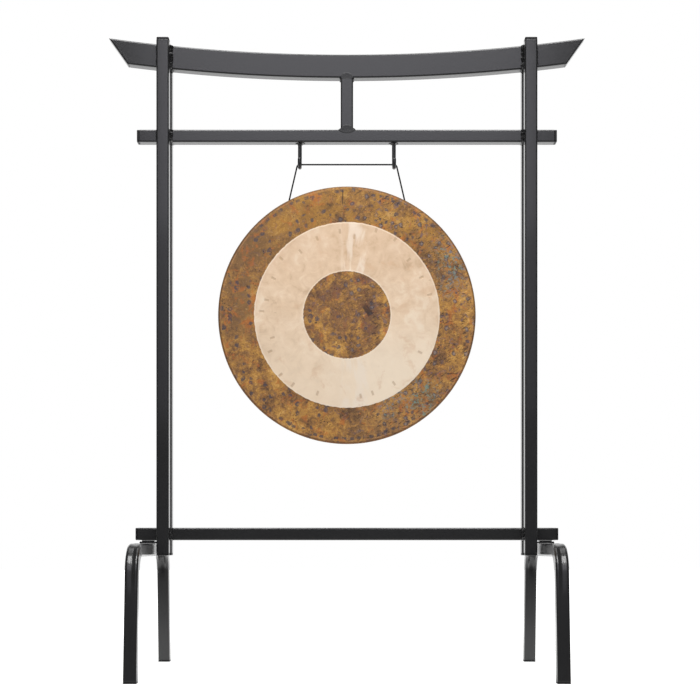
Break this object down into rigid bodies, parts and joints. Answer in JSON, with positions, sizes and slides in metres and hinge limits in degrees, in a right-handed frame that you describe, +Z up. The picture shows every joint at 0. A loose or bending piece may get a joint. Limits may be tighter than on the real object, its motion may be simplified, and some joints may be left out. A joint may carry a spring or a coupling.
{
  "type": "gong stand",
  "caption": "Gate-shaped steel gong stand with a curved top beam, a tie beam, double posts and bent tube feet, with a round rimmed gong hung from its hooks on a cord.",
  "frame": {"origin": "on the floor, in the middle between the feet, under the gong", "axes": "+X to the stand's right as seen from the front, +Y to the back, +Z up; the gong's face looks along -Y"},
  "size_m": [1.2118, 0.6674, 1.6128],
  "materials": {
    "black_paint": "semi-gloss powder coat",
    "black_plastic": "moulded, satin",
    "black_cord": "twisted nylon",
    "gong_bronze": "hammered patina with a scraped bright ring"
  },
  "bodies": {
    "stand": {"post_front_left": "black_paint", "post_front_right": "black_paint", "post_rear_left": "black_paint", "post_rear_right": "black_paint", "post_top_cap_front_left": "black_plastic", "post_top_cap_front_right": "black_plastic", "post_top_cap_rear_left": "black_plastic", "post_top_cap_rear_right": "black_plastic", "post_bottom_cap_front_left": "black_plastic", "post_bottom_cap_front_right": "black_plastic", "post_bottom_cap_rear_left": "black_plastic", "post_bottom_cap_rear_right": "black_plastic", "top_beam": "black_paint", "top_beam_end_left": "black_paint", "top_beam_end_right": "black_paint", "tie_beam": "black_paint", "tie_beam_cap_left": "black_plastic", "tie_beam_cap_right": "black_plastic", "centre_strut": "black_paint", "bottom_rail": "black_paint", "bottom_rail_cap_left": "black_plastic", "bottom_rail_cap_right": "black_plastic", "foot_left": "black_paint", "foot_right": "black_paint", "foot_glide_front_left": "black_plastic", "foot_glide_front_right": "black_plastic", "foot_glide_rear_left": "black_plastic", "foot_glide_rear_right": "black_plastic", "foot_saddle_left": "black_paint", "foot_saddle_right": "black_paint", "hook_left": "black_paint", "hook_right": "black_paint"},
    "cord_loop": {"cord": "black_cord"},
    "gong": {"gong": "gong_bronze"}
  },
  "joints": [
    {"name": "cord_swing", "type": "hinge", "parent": "stand", "child": "cord_loop", "pos_m": [0, -0.011, 1.2913], "axis": [1, 0, 0], "range_deg": [-25, 25]},
    {"name": "gong_rock", "type": "hinge", "parent": "cord_loop", "child": "gong", "pos_m": [0, -0.011, 1.1975], "axis": [1, 0, 0], "range_deg": [-15, 15]}
  ]
}
